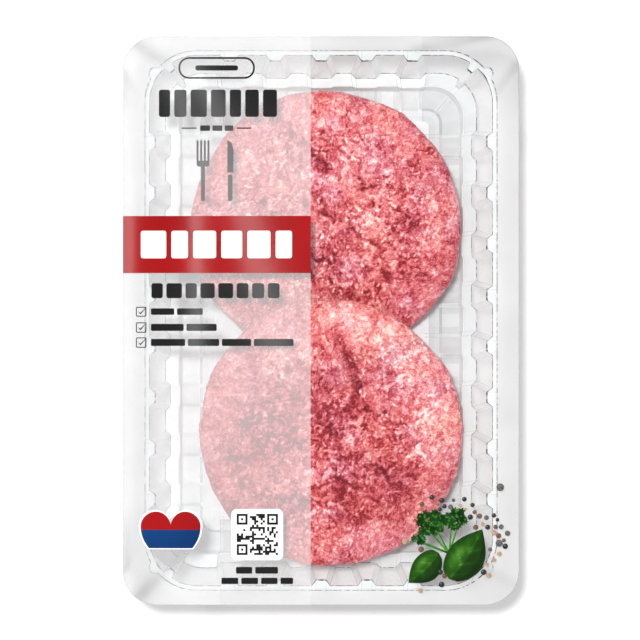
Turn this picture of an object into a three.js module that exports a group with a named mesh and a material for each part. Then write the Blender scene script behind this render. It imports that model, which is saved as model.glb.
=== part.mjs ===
// Clear thermoformed tray with a sealed film lid and two raw beef patties inside.
// Millimetres, +Z up, +Y along the pack. The tray's foot stands on z = 0.

import * as THREE from 'three';

// Pack outline: the flange and the film share it.
const PACK_WIDTH = 153;
const PACK_LENGTH = 219.5;
const OUTLINE_RADIUS = 13;
const FLANGE_TOP = 32;
const SHEET = 0.7;

// Opening of the tray, at the lip that runs round inside the flange. The lip's face leans in a little, and
// its sheet measures more than the flange's because it stands on edge.
const LIP_WIDTH = 135.8;
const LIP_LENGTH = 208.2;
const LIP_RADIUS = 20;
const LIP_DROP = 0.9;
const LIP_LEAN = 0.3;
const LIP_SHEET = 0.9;
const LUG_SIZE = 2;

// Levels of the inner surface.
const LEDGE_LEVEL = 7.6;
const GROOVE_LEVEL = SHEET;
const STEP_LEVEL = 2.4;
const PANEL_LEVEL = 3.6;

// Battlement ribs of the walls: their places along a side and along an end.
const SIDE_RIB_PITCH = 19.75;
const SIDE_RIB_COUNT = 8;
const END_RIB_PITCH = 17.7;
const END_RIB_COUNT = 5;

// Film lid, with a slight crown, just above the flange.
const FILM_GAP = 0.3;
const FILM_THICKNESS = 0.4;
const FILM_CROWN = 1.2;
const FILM_RINGS = [0.25, 0.5, 0.7, 0.85, 0.95, 1];
const FILM_CORNER_STEPS = 8;

// Patties, pressed in a round mould. The second one lies with its edge on the first.
const FIRST_PATTY = { x: 1.9, y: 37.7, radius: 52.7, thickness: 15.5, seed: 1.3 };
const SECOND_PATTY = { x: 3.7, y: -44.0, radius: 52.0, thickness: 15.0, seed: 4.1 };
const PATTY_CLEARANCE = 0.35;
const EDGE_ROUNDING = 3.2;

// How the patties give way to each other: the first is pressed thinner under the second, the second climbs
// over it and thins, and its other end rests on the ledge. Each runs between two distances.
const PRESSED = { from: -9, to: 7, thinner: 6.2 };
const CLIMB = { from: -14, to: 5, lift: 9.6, thinner: 3.6 };
const END_REST = { from: 78, to: 93, lift: 3.4, thinner: 1.2 };

// The thumb-long dent in the second patty, from near its middle up towards the first.
const DENT = { fromX: 5.6, fromY: -1.8, toX: 12.8, toY: -21.4, width: 2.6, depth: 1.6 };

// The uneven outline of hand-fed mince: waves round the patty, as shares of its radius.
const OUTLINE_WAVES = [
  { times: 2, share: 0.008 }, { times: 3, share: 0.007 }, { times: 5, share: 0.005 },
  { times: 9, share: 0.004 }, { times: 14, share: 0.003 },
];

// Crags of the mince: lumps of two sizes, each with its width and its full height.
const CRAGS = [{ width: 11, height: 1.5 }, { width: 6, height: 1.1 }];
const SCATTER = { column: 12.9898, row: 78.233, spread: 43758.5453 };

// Rings of a patty, as shares of its radius: under it, round its edge, and over its top in even steps.
const PATTY_AROUND = 68;
const UNDER_RINGS = [0.36, 0.56, 0.71, 0.83, 0.91, 0.97];
const TOP_EDGE_RINGS = [0.985, 0.94];
const TOP_RING_COUNT = 12;

// Sampling of a corner, from the side round to the end. Each entry holds an angle in degrees, how far the
// half-round lug stands out there, and how far the slanted corner rib stands in, both as shares.
const CORNER_SAMPLES = [
  [0, 0, 0], [15, 0, 0], [28, 0, 0], [31, 0.8, 0], [35, 1, 0], [39, 0.8, 0], [42, 0, 0],
  [46, 0, 0], [48, 0, 1], [56, 0, 1], [58, 0, 0], [74, 0, 0], [90, 0, 0],
];

// Places of ribs that are spread evenly about the middle.
function ribPlaces(count, pitch) {
  return Array.from({ length: count }, (_, i) => (i - (count - 1) / 2) * pitch);
}

// One straight run of a ring: along it, each rib gives four points, the foot and the face of both flanks.
// Returns [place along the run, inward step, share of the bar's height].
function straightRun(places, ring) {
  return places.flatMap((place) => [
    [place - ring.ribFoot, 0, 0],
    [place - ring.ribFace, ring.ribDepth, 1],
    [place + ring.ribFace, ring.ribDepth, 1],
    [place + ring.ribFoot, 0, 0],
  ]);
}

// A closed ring of the tray: a rounded rectangle with the ribs, lugs and slanted corner ribs of its level.
function trayRing(level) {
  const ring = {
    halfWidth: LIP_WIDTH / 2, halfLength: LIP_LENGTH / 2, radius: LIP_RADIUS, inset: 0, z: 0,
    ribFace: 2, ribFoot: 3.5, ribDepth: 0, bar: 0, lug: 0, cornerRib: 0, ...level,
  };
  const halfWidth = ring.halfWidth - ring.inset;
  const halfLength = ring.halfLength - ring.inset;
  const points = [];
  const sideRun = straightRun(ribPlaces(SIDE_RIB_COUNT, SIDE_RIB_PITCH), ring);
  const endRun = straightRun(ribPlaces(END_RIB_COUNT, END_RIB_PITCH), ring);
  const corner = (signX, signY, samples) => {
    for (const [degrees, lug, rib] of samples) {
      const angle = THREE.MathUtils.degToRad(degrees);
      const reach = ring.radius + lug * ring.lug - rib * ring.cornerRib;
      points.push([
        signX * (halfWidth - ring.radius + reach * Math.cos(angle)),
        signY * (halfLength - ring.radius + reach * Math.sin(angle)),
        ring.z,
      ]);
    }
  };
  const back = [...CORNER_SAMPLES].reverse();
  for (const [place, step, bar] of sideRun) points.push([halfWidth - step, place, ring.z + bar * ring.bar]);
  corner(1, 1, CORNER_SAMPLES);
  for (const [place, step, bar] of endRun) points.push([-place, halfLength - step, ring.z + bar * ring.bar]);
  corner(-1, 1, back);
  for (const [place, step, bar] of sideRun) points.push([step - halfWidth, -place, ring.z + bar * ring.bar]);
  corner(-1, -1, CORNER_SAMPLES);
  for (const [place, step, bar] of endRun) points.push([place, step - halfLength, ring.z + bar * ring.bar]);
  corner(1, -1, back);
  return points;
}

// A closed body from rings of equal length: neighbours are joined by triangles, both ends by a fan.
// The rings run counter-clockwise seen from above and go from the underside's middle, round, to the top's.
function bodyFromRings(rings) {
  const count = rings[0].length;
  const positions = rings.flat(2);
  const index = [];
  for (let r = 0; r + 1 < rings.length; r += 1) {
    for (let i = 0; i < count; i += 1) {
      const next = (i + 1) % count;
      const a = r * count + i;
      const b = r * count + next;
      const c = (r + 1) * count + next;
      const d = (r + 1) * count + i;
      index.push(a, b, c, a, c, d);
    }
  }
  const middle = (ring) => ring.reduce((sum, p) => sum.map((v, k) => v + p[k] / ring.length), [0, 0, 0]);
  const bottomMiddle = positions.length / 3;
  positions.push(...middle(rings[0]), ...middle(rings[rings.length - 1]));
  const topMiddle = bottomMiddle + 1;
  const last = (rings.length - 1) * count;
  for (let i = 0; i < count; i += 1) {
    const next = (i + 1) % count;
    index.push(bottomMiddle, next, i);
    index.push(topMiddle, last + i, last + next);
  }
  const geometry = new THREE.BufferGeometry();
  geometry.setAttribute('position', new THREE.Float32BufferAttribute(positions, 3));
  geometry.setIndex(index);
  geometry.computeVertexNormals();
  return geometry;
}

// Levels of the tray's inner surface, from the lip down the ribbed wall, over the ledge, down into the
// groove that it stands on, and up to the raised floor panel. Cross bars run over the groove.
const CROSS_BAR = { ribFace: 3.3, ribFoot: 4.6 };
const RIB_TOP = { ribFace: 2, ribFoot: 3.5, ribDepth: 2.4, cornerRib: 3 };
const RIB_BOTTOM = { ribFace: 4.1, ribFoot: 5.9, ribDepth: 2, cornerRib: 3 };
const TRAY_LEVELS = [
  { inset: 1.7, z: FLANGE_TOP - LIP_DROP, radius: 18.5, ...RIB_TOP },
  { inset: 6.4, z: LEDGE_LEVEL, radius: 15, ...RIB_BOTTOM },
  { inset: 11.7, z: LEDGE_LEVEL - 0.2, radius: 12, ribFace: 3.6, ribFoot: 5.2, ribDepth: 0.6 },
  { inset: 12.9, z: GROOVE_LEVEL, radius: 11, bar: 2.8, ...CROSS_BAR },
  { inset: 19.7, z: GROOVE_LEVEL, radius: 6, bar: 2.2, ...CROSS_BAR },
  { inset: 20.8, z: STEP_LEVEL, radius: 5, bar: 0.6, ...CROSS_BAR },
  { inset: 22.6, z: STEP_LEVEL + 0.1, radius: 3.5, ...CROSS_BAR },
  { inset: 25.4, z: PANEL_LEVEL, radius: 1.6, ...CROSS_BAR },
];

function trayGeometry() {
  const outline = { halfWidth: PACK_WIDTH / 2, halfLength: PACK_LENGTH / 2, radius: OUTLINE_RADIUS };
  const inner = TRAY_LEVELS.map((level) => trayRing(level));
  const outer = TRAY_LEVELS.map((level) => trayRing({
    ...level,
    inset: level.inset - SHEET,
    z: level.z - SHEET,
  }));
  return bodyFromRings([
    ...outer.reverse(),
    trayRing({ inset: LIP_LEAN - LIP_SHEET, z: FLANGE_TOP - SHEET - LIP_DROP, lug: LUG_SIZE }),
    trayRing({ inset: -LIP_SHEET, z: FLANGE_TOP - SHEET, lug: LUG_SIZE }),
    trayRing({ ...outline, z: FLANGE_TOP - SHEET }),
    trayRing({ ...outline, z: FLANGE_TOP }),
    trayRing({ inset: 0, z: FLANGE_TOP, lug: LUG_SIZE }),
    trayRing({ inset: LIP_LEAN, z: FLANGE_TOP - LIP_DROP, lug: LUG_SIZE }),
    ...inner,
  ]);
}

// A plain rounded rectangle, sampled evenly enough for the film.
function plainRing(halfWidth, halfLength, radius, height) {
  const points = [];
  const corners = [[1, 1], [-1, 1], [-1, -1], [1, -1]];
  corners.forEach(([signX, signY], quarter) => {
    for (let i = 0; i <= FILM_CORNER_STEPS; i += 1) {
      const angle = (quarter + i / FILM_CORNER_STEPS) * (Math.PI / 2);
      const x = signX * (halfWidth - radius) + radius * Math.cos(angle);
      const y = signY * (halfLength - radius) + radius * Math.sin(angle);
      points.push([x, y, height(x, y)]);
    }
  });
  return points;
}

// The film is flat on the flange and rises a little over the opening.
function filmRise(x, y) {
  const across = Math.max(0, 1 - (x / (LIP_WIDTH / 2)) ** 4);
  const along = Math.max(0, 1 - (y / (LIP_LENGTH / 2)) ** 4);
  return FILM_CROWN * across * along;
}

function filmGeometry() {
  const under = FLANGE_TOP + FILM_GAP;
  const over = under + FILM_THICKNESS;
  const skin = (base) => FILM_RINGS.map((share) => plainRing(
    (share * LIP_WIDTH) / 2,
    (share * LIP_LENGTH) / 2,
    share * LIP_RADIUS,
    (x, y) => base + filmRise(x, y),
  ));
  const edge = (z) => plainRing(PACK_WIDTH / 2, PACK_LENGTH / 2, OUTLINE_RADIUS, () => z);
  return bodyFromRings([...skin(under), edge(under), edge(over), ...skin(over).reverse()]);
}

// How far a value has come from one end of a run to the other, from 0 to 1, with soft ends.
function comeAlong(run, value) {
  return THREE.MathUtils.smoothstep(value, run.from, run.to);
}

// Distance inwards from a patty's edge.
function insideEdge(patty, x, y) {
  return patty.radius - Math.hypot(x - patty.x, y - patty.y);
}

// A patty's radius in one direction, as a share of its plain radius.
function outlineShare(patty, angle) {
  return OUTLINE_WAVES.reduce(
    (sum, wave, i) => sum + wave.share * Math.sin(wave.times * angle + (i + 1) * patty.seed),
    1,
  );
}

// A fixed random number from 0 to 1 for each corner of a grid.
function scattered(column, row, seed) {
  const value = Math.sin(column * SCATTER.column + row * SCATTER.row + seed) * SCATTER.spread;
  return value - Math.floor(value);
}

// Random lumps, one for each cell of a grid, blended softly. From -0.5 to 0.5.
function lumps(u, v, seed) {
  const column = Math.floor(u);
  const row = Math.floor(v);
  const { lerp, smoothstep } = THREE.MathUtils;
  const across = smoothstep(u - column, 0, 1);
  const along = smoothstep(v - row, 0, 1);
  const edge = (r) => lerp(scattered(column, r, seed), scattered(column + 1, r, seed), across);
  return lerp(edge(row), edge(row + 1), along) - 0.5;
}

function crags(patty, x, y) {
  const one = (crag) => crag.height * lumps(x / crag.width, y / crag.width, patty.seed);
  return CRAGS.reduce((sum, crag) => sum + one(crag), 0);
}

function dentDepth(x, y) {
  const runX = DENT.toX - DENT.fromX;
  const runY = DENT.toY - DENT.fromY;
  const along = ((x - DENT.fromX) * runX + (y - DENT.fromY) * runY) / (runX ** 2 + runY ** 2);
  const held = THREE.MathUtils.clamp(along, 0, 1);
  const away = Math.hypot(x - DENT.fromX - held * runX, y - DENT.fromY - held * runY);
  return DENT.depth * Math.exp(-((away / DENT.width) ** 2));
}

// Height of a patty's underside, its thickness and the relief of its top at a place.
function pattyBed(patty, x, y) {
  const floor = PANEL_LEVEL + PATTY_CLEARANCE;
  if (patty === FIRST_PATTY) {
    const pressed = comeAlong(PRESSED, insideEdge(SECOND_PATTY, x, y));
    return {
      under: floor,
      thickness: patty.thickness - PRESSED.thinner * pressed,
      relief: crags(patty, x, y) * (1 - pressed),
    };
  }
  const climb = comeAlong(CLIMB, insideEdge(FIRST_PATTY, x, y));
  const rest = comeAlong(END_REST, -y);
  return {
    under: floor + CLIMB.lift * climb + END_REST.lift * rest,
    thickness: patty.thickness - CLIMB.thinner * climb - END_REST.thinner * rest,
    relief: crags(patty, x, y) - dentDepth(x, y),
  };
}

// A point of a patty: its share of the radius and whether it lies over or under the widest line.
function pattyPoint(patty, share, side, angle) {
  const radius = patty.radius * outlineShare(patty, angle) * share;
  const x = patty.x + radius * Math.cos(angle);
  const y = patty.y + radius * Math.sin(angle);
  const rise = side * (1 - share ** EDGE_ROUNDING) ** (1 / EDGE_ROUNDING);
  const bed = pattyBed(patty, x, y);
  return [x, y, bed.under + (bed.thickness * (1 + rise)) / 2 + Math.max(0, rise) * bed.relief];
}

function pattyGeometry(patty) {
  const lastShare = TOP_EDGE_RINGS[TOP_EDGE_RINGS.length - 1];
  const topShare = (_, i) => lastShare * (1 - (i + 1) / TOP_RING_COUNT);
  const topRings = Array.from({ length: TOP_RING_COUNT - 1 }, topShare);
  const turns = Array.from({ length: PATTY_AROUND }, (_, i) => (i / PATTY_AROUND) * 2 * Math.PI);
  const ring = (share, side) => turns.map((angle) => pattyPoint(patty, share, side, angle));
  return bodyFromRings([
    ...UNDER_RINGS.map((share) => ring(share, -1)),
    ring(1, 0),
    ...TOP_EDGE_RINGS.map((share) => ring(share, 1)),
    ...topRings.map((share) => ring(share, 1)),
  ]);
}

const clearPlastic = new THREE.MeshStandardMaterial({
  color: 0xeeeeee, roughness: 0.12, metalness: 0, transparent: true, opacity: 0.35,
});
const clearFilm = new THREE.MeshStandardMaterial({
  color: 0xf4f4f4, roughness: 0.08, metalness: 0, transparent: true, opacity: 0.2,
});
const rawMince = new THREE.MeshStandardMaterial({ color: 0xd9707a, roughness: 0.4, metalness: 0 });

function piece(name, geometry, material) {
  const mesh = new THREE.Mesh(geometry, material);
  mesh.name = name;
  return mesh;
}

const pack = new THREE.Group();
pack.add(piece('tray', trayGeometry(), clearPlastic));
pack.add(piece('film_lid', filmGeometry(), clearFilm));
pack.add(piece('first_patty', pattyGeometry(FIRST_PATTY), rawMince));
pack.add(piece('second_patty', pattyGeometry(SECOND_PATTY), rawMince.clone()));

export default pack;
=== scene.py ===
# %% [markdown]
# # A sealed tray of raw beef patties
# The real pack is a clear plastic tray with a printed clear film sealed over it and two patties inside.
# The solids of the pack come first, as a fixed frame. Each cell after that makes one piece or one finish,
# in the same place as its solid.

# %% Load the solids
import math

import bmesh
import bpy
import numpy as np
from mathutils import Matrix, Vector


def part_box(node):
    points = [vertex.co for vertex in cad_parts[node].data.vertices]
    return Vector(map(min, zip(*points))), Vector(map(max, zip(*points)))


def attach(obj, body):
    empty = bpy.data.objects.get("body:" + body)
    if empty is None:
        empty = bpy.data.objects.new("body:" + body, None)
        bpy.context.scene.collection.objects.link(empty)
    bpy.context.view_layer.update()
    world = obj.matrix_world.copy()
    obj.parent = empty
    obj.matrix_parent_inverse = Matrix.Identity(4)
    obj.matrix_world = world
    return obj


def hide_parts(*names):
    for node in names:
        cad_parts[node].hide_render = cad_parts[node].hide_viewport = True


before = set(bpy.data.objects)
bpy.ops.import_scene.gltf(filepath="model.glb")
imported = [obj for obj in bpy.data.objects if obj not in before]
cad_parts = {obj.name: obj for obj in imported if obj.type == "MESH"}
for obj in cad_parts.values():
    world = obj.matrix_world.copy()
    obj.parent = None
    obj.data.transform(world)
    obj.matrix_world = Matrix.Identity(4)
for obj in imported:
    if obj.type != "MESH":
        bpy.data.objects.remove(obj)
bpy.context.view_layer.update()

MM = 0.001
tray_low, tray_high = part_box("tray")
PACK_WIDTH = (tray_high.x - tray_low.x) / MM
PACK_LENGTH = (tray_high.y - tray_low.y) / MM
FLANGE_TOP = tray_high.z / MM
print(f"pack {PACK_WIDTH:.1f} by {PACK_LENGTH:.1f} mm, flange {FLANGE_TOP:.1f} mm up")

# %% [markdown]
# ## Small helpers
# Points are kept in millimetres until a mesh is made, because that is how a pack is drawn. One function
# turns a screen colour to linear light, and one adds a shader node with its settings, colour steps and
# links. A number that a shader needs at each point or face is written on the mesh under a name.

# %% Helpers for meshes
def make_piece(name, points, faces, material, replaced=()):
    mesh = bpy.data.meshes.new(name)
    mesh.from_pydata((np.asarray(points, dtype=float) * MM).tolist(), [], faces)
    mesh.polygons.foreach_set("use_smooth", [True] * len(mesh.polygons))
    mesh.materials.append(material)
    piece = bpy.data.objects.new(name, mesh)
    bpy.context.scene.collection.objects.link(piece)
    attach(piece, "root")
    if replaced:
        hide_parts(*replaced)
    print(f"{name}: {len(mesh.vertices)} points, {len(mesh.polygons)} faces")
    return piece


def write_values(piece, name, values, domain="POINT"):
    layer = piece.data.attributes.new(name, "FLOAT", domain)
    layer.data.foreach_set("value", np.asarray(values, dtype=np.float32).ravel())

# %% Helpers for materials
def linear(hex_colour):
    channels = [int(hex_colour[i:i + 2], 16) / 255 for i in (1, 3, 5)]
    return tuple(c / 12.92 if c <= 0.04045 else ((c + 0.055) / 1.055) ** 2.4 for c in channels) + (1.0,)


def set_sockets(material, node, sockets):
    for socket, value in sockets.items():
        if isinstance(value, bpy.types.NodeSocket):
            material.node_tree.links.new(value, node.inputs[socket])
        else:
            node.inputs[socket].default_value = value


def surface(material):
    return material.node_tree.nodes["Principled BSDF"]


def new_material(name, sockets):
    material = bpy.data.materials.new(name)
    material.use_nodes = True
    set_sockets(material, surface(material), sockets)
    return material


def add_node(material, kind, sockets=None, steps=(), **settings):
    node = material.node_tree.nodes.new(kind)
    for name, value in settings.items():
        setattr(node, name, value)
    if steps:
        points = node.color_ramp.elements
        while len(points) < len(steps):
            points.new(0.5)
        for point, (place, hex_colour) in zip(points, steps):
            point.position = place
            point.color = linear(hex_colour)
    set_sockets(material, node, sockets or {})
    return node

# %% [markdown]
# ## Clear tray sheet
# Trays like this are vacuum formed from a clear PET sheet. Thin clear plastic on white shows as a pale
# grey veil, lighter or darker by how each face leans to the light; here that is painted light and shade.
# Where the real sheet bends sharply it gathers the dark parts of the room into a thin broken line, or the
# lamp into a white one; here both lines are painted. The flange is milkier, because the film is welded to it.
# So the tray is one skin with five finishes of the same sheet.

# %% Finishes of the sheet
# Clear PET is glossy and bends light strongly, and its formed skin wavers a little over about 9 mm. A painted
# line at a bend is broken every millimetre or two. The welded flange wavers only over its whole width.
SHEET_SURFACE = {"Roughness": 0.14, "IOR": 1.57, "Coat Weight": 0.2, "Coat Roughness": 0.05}


def sheet_finish(name, steps, alpha, width_mm, low=0.35, high=0.65):
    finish = new_material(name, {**SHEET_SURFACE, "Alpha": alpha})
    place = add_node(finish, "ShaderNodeTexCoord")
    cloud = add_node(finish, "ShaderNodeTexNoise", {
        "Vector": place.outputs["Object"], "Scale": 1 / (width_mm * MM), "Detail": 2.0,
    })
    shades = [(low, steps[0]), (high, steps[1])]
    colour = add_node(finish, "ShaderNodeValToRGB", {"Fac": cloud.outputs["Fac"]}, shades)
    shown = colour.outputs["Color"]
    # The colour is multiplied by the painted light and shade of the veil and by the painted shade of the
    # folds.
    for mark_name in ("painted_veil", "fold_shade"):
        mark = add_node(finish, "ShaderNodeAttribute", attribute_name=mark_name)
        mixed = add_node(finish, "ShaderNodeMix", {
            "Factor": 1.0, "A": shown, "B": mark.outputs["Fac"],
        }, data_type="RGBA", blend_type="MULTIPLY")
        shown = mixed.outputs["Result"]
    set_sockets(finish, surface(finish), {"Base Color": shown})
    return finish


# The dark line is a painted reflection, and the bright finish is a painted highlight.
SHEET_FINISHES = [
    sheet_finish("Clear_formed_PET", ("#EEF3F4", "#F8FEFF"), 0.5, 9),
    sheet_finish("Painted_dark_line_at_a_bend", ("#1E1E20", "#E2E2E4"), 0.88, 1.6, 0.44, 0.6),
    sheet_finish("Painted_bright_sheet", ("#F0F5F6", "#F9FEFF"), 0.8, 4),
    sheet_finish("Welded_flange", ("#F2F2F2", "#FFFFFF"), 0.8, 30),
    sheet_finish("Steep_clear_wall", ("#F2F4F4", "#FCFFFF"), 0.3, 9),
]
CLEAR, PAINTED_DARK_LINE, PAINTED_BRIGHT, WELDED, STEEP = range(5)
print(f"{len(SHEET_FINISHES)} finishes of the sheet")

# %% [markdown]
# ## The tray's form
# The wall is a battlement: ribs stand in from it at an even pitch, wider towards the foot, and one stands
# across each corner beside a half-round lug. The tray is lofted from closed rings, each a rounded
# rectangle with the ribs of its level. Two rings close together at each bend keep the bend crisp.

# %% Levels of the tray
# A level is one outline of the sheet: how far it stands in from the lip, its height, its corner radius, the
# half widths of a rib at its face and foot, how far the ribs stand in, and how far the bars stand up.
SHEET = 0.7
FLANGE_RADIUS = 13
LIP_WIDTH = 135.8
LIP_LENGTH = 208.2
LIP_RADIUS = 20
LIP_DROP = 0.9
LUG_SIZE = 2.0
LEDGE_LEVEL = 7.6
STEP_LEVEL = 2.4
PANEL_LEVEL = 3.6
SIDE_RIBS = (8, 19.75)
END_RIBS = (5, 17.7)


def level(inset, z, radius, face=2.0, foot=3.5, depth=0.0, bar=0.0, lug=0.0, corner_rib=0.0, soft=0.5):
    return {
        "half_width": LIP_WIDTH / 2 - inset, "half_length": LIP_LENGTH / 2 - inset, "z": z,
        "radius": radius, "face": face, "foot": foot, "depth": depth, "bar": bar, "lug": lug,
        "corner_rib": corner_rib, "soft": soft,
    }


def edge_level(z, shrink=0.0):
    outer = level(0, z, FLANGE_RADIUS - shrink, soft=0.25)
    outer["half_width"] = PACK_WIDTH / 2 - shrink
    outer["half_length"] = PACK_LENGTH / 2 - shrink
    return outer


tray_levels = [
    edge_level(FLANGE_TOP - SHEET, 0.5),
    edge_level(FLANGE_TOP - SHEET),
    edge_level(FLANGE_TOP),
    level(0.0, FLANGE_TOP, LIP_RADIUS, lug=LUG_SIZE, soft=0.2),
    level(0.3, FLANGE_TOP - LIP_DROP, LIP_RADIUS, lug=LUG_SIZE, soft=0.2),
    level(1.7, FLANGE_TOP - LIP_DROP, 18.5, 2.0, 3.5, 2.4, corner_rib=3, soft=0.3),
    level(6.4, LEDGE_LEVEL, 15, 4.1, 5.9, 2.0, corner_rib=3, soft=1.0),
    level(11.7, LEDGE_LEVEL - 0.2, 12, 3.6, 5.2, 0.6, soft=0.7),
    level(12.9, SHEET, 11, 3.3, 4.6, bar=2.8, soft=0.8),
    level(19.7, SHEET, 6, 3.3, 4.6, bar=2.2, soft=0.5),
    level(20.8, STEP_LEVEL, 5, 3.3, 4.6, bar=0.6, soft=0.4),
    level(22.6, STEP_LEVEL + 0.1, 3.5, 3.3, 4.6, soft=0.4),
    level(25.4, PANEL_LEVEL, 1.6, 3.3, 4.6, soft=0.5),
    level(26.6, PANEL_LEVEL, 1.0, 3.3, 4.6),
]
print(f"{len(tray_levels)} levels from the flange's edge to the floor panel")

# %% [markdown]
# ## How each part of the sheet meets the light
# A zone is the strip of sheet between two levels. Its veil is its whiteness with painted light and shade in
# it, and above 1 the sheet takes the bright finish. A rib has a top, a flank turned to the light and one
# turned away, painted lighter and darker, and the niche between two ribs is painted a little lighter along
# its middle. The walls at the left and at the far end show lighter than those at the right, so a last table
# raises their veils with painted light. Veils set zone by zone, as painted light and shade, follow the real
# sheet more closely than clear plastic that is left to mirror an empty room.

# %% Veils and bends
UNDER, EDGE, FLANGE, LIP, STRIP, WALL, LEDGE, DROP, GROOVE, RISE, STEP, SLOPE, PANEL = range(13)


def painted_veil(niche, middle=None, rib=None, lit=None, shade=None):
    return {
        "niche": niche, "middle": niche if middle is None else middle, "rib": niche if rib is None else rib,
        "lit": niche if lit is None else lit, "shade": niche if shade is None else shade,
    }


PAINTED_VEILS = {
    UNDER: painted_veil(0.7), EDGE: painted_veil(0.5), FLANGE: painted_veil(0.75), LIP: painted_veil(0.9), STRIP: painted_veil(0.98),
    WALL: painted_veil(0.72, 0.8, 0.84, 1.0, 0.8), LEDGE: painted_veil(0.8), DROP: painted_veil(0.8),
    GROOVE: painted_veil(0.68, 0.82, 0.66, 1.12, 0.98), RISE: painted_veil(0.5, 0.56, 0.6, 1.0, 0.8),
    STEP: painted_veil(0.84, 0.88), SLOPE: painted_veil(0.78, 0.82), PANEL: painted_veil(1.1),
}
# The painted line along a bend, a dark reflection or a highlight: its finish and its veil.
PAINTED_BEND_LINES = {LIP: (PAINTED_DARK_LINE, 0.8), WALL: (PAINTED_DARK_LINE, 0.6), LEDGE: (PAINTED_DARK_LINE, 0.8), DROP: (PAINTED_BRIGHT, 1.0), PANEL: (PAINTED_BRIGHT, 1.0)}
# How the first and the second flank of a rib lie to the light on each side of the tray, and so how each is
# painted, lit or shaded.
FLANKS = {
    "right": ("lit", "shade"), "top": ("lit", "shade"),
    "left": ("shade", "lit"), "bottom": ("shade", "shade"),
}
# How much lighter the walls of each side are drawn than those of the right side, as painted light.
RUN_PAINTED_LIGHT = {
    "right": 1.0, "top": 1.32, "left": 1.64, "bottom": 1.02, "right corner": 1.05, "left corner": 1.6,
}
print(f"{len(PAINTED_VEILS)} zones and {len(PAINTED_BEND_LINES)} drawn bends")

# %% Rings between the levels
# Beside each level stand rings a soft distance and half a line width away, before it and after it. The flange
# has more strips, so that the painted shade of the soft folds can show on it.
LINE_WIDTH = 0.4
WIDEST_BEND = 0.45
FLANGE_STRIPS = 9
FLANGE_REACH = 0.97


def between(first, second, share):
    return {key: first[key] + (second[key] - first[key]) * share for key in first}


def rings_of(levels):
    rings = [(levels[0], UNDER, False)]
    for zone in range(1, len(levels) - 1):
        before, here, after = levels[zone - 1:zone + 2]
        soft, sharp = here["soft"], LINE_WIDTH / 2
        for neighbour, order in ((before, (soft, sharp)), (after, (sharp, soft))):
            run = math.hypot(neighbour["half_width"] - here["half_width"], neighbour["z"] - here["z"])
            for away in order:
                ring = between(here, neighbour, min(away / run, WIDEST_BEND))
                at_bend = neighbour is before and away == sharp
                rings.append((ring, zone - 1 if neighbour is before else zone, at_bend))
        if zone == FLANGE:
            start = rings[-1][0]
            for k in range(1, FLANGE_STRIPS):
                rings.append((between(start, after, FLANGE_REACH * k / FLANGE_STRIPS), zone, False))
    rings.append((levels[-1], PANEL, False))
    return rings


rings = rings_of(tray_levels)
print(f"{len(rings)} rings")

# %% Columns along the four sides
# A column is one point of the ring: the middle of its rib, the side of the rib, the part of the rib, a small
# nudge that rounds the edge, and the kind of sheet that follows it.
RIB_SOFT = 0.16
NICHE_MIDDLE = 0.13
RIB_EDGES = (
    (-1, "foot", 0, "first"), (-1, "face", 0, "rib"), (1, "face", 1, "second"), (1, "foot", 1, "niche"),
)


def run_columns(name, count, pitch):
    flanks = dict(zip(("first", "second"), FLANKS[name]))
    for rib in range(count):
        place = (rib - (count - 1) / 2) * pitch
        for side, part, flank, after in RIB_EDGES:
            yield place, side, part, -RIB_SOFT, FLANKS[name][flank] + " edge"
            yield place, side, part, RIB_SOFT, flanks.get(after, after)
        if rib < count - 1:
            yield place + (0.5 - NICHE_MIDDLE) * pitch, 0, "foot", 0, "middle"
            yield place + (0.5 + NICHE_MIDDLE) * pitch, 0, "foot", 0, "niche"


def run_points(ring, columns):
    for place, side, part, nudge, _ in columns:
        along = side * ring[part] + nudge
        share = min(max((ring["foot"] - abs(along)) / (ring["foot"] - ring["face"]), 0), 1) if side else 0
        yield place + along, share * ring["depth"], share * ring["bar"]


# Each side with the direction in which it faces.
SIDES = (("right", 1, 0), ("top", 0, 1), ("left", -1, 0), ("bottom", 0, -1))
RUNS = {name: list(run_columns(name, *(SIDE_RIBS if turn_x else END_RIBS))) for name, turn_x, _ in SIDES}
print(f"{sum(len(run) for run in RUNS.values())} columns along the sides")

# %% Columns round the corners
# Angles are in degrees from the long side. Each corner has a lug and one rib with a flank on either side.
LUG_ANGLE, LUG_REACH = 35, 6.5
CORNER_EDGES = (46, 48, 56, 58)
CORNER_FLANK = 2
EDGE_HALF = 0.4
corner_angles = sorted({
    *np.linspace(0, 90, 31), *(edge + side for edge in CORNER_EDGES for side in (-EDGE_HALF, EDGE_HALF)),
})


def corner_shares(angle):
    lug = math.sqrt(max(0, 1 - ((angle - LUG_ANGLE) / LUG_REACH) ** 2))
    rib = min(max(min(angle - CORNER_EDGES[0], CORNER_EDGES[3] - angle) / CORNER_FLANK, 0), 1)
    return lug, rib


def corner_kind(angle):
    if any(abs(angle - edge) < EDGE_HALF for edge in CORNER_EDGES):
        return "shade edge"
    if CORNER_EDGES[1] < angle < CORNER_EDGES[2]:
        return "rib"
    return "shade" if CORNER_EDGES[0] < angle < CORNER_EDGES[3] else "niche"


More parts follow.
